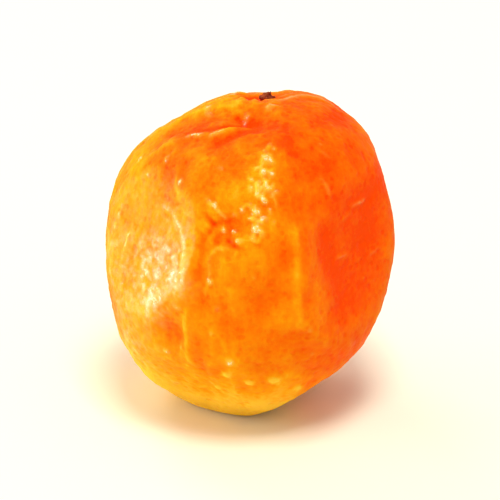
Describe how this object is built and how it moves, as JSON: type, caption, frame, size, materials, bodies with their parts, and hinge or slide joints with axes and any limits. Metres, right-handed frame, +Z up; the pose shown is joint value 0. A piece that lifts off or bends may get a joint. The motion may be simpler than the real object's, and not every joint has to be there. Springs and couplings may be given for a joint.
{
  "type": "dried kumquat",
  "caption": "Whole dried kumquat: a plump, glossy orange fruit with pressed cheeks, soft folds and a dry stem button, standing upright as loose produce, food or garnish.",
  "frame": {"origin": "on the surface the fruit stands on, under the middle of its bounding box", "axes": "+Z up along the length of the fruit, towards its stem end; -Y towards its front; -X towards its broad flat cheek"},
  "size_m": [0.027, 0.026, 0.0299],
  "materials": {
    "candied_peel": "glossy, sticky, translucent orange citrus peel",
    "dry_stalk": "matt dark brown dry stalk"
  },
  "bodies": {
    "root": {"kumquat": "candied_peel", "stem_button": "dry_stalk"}
  },
  "joints": []
}
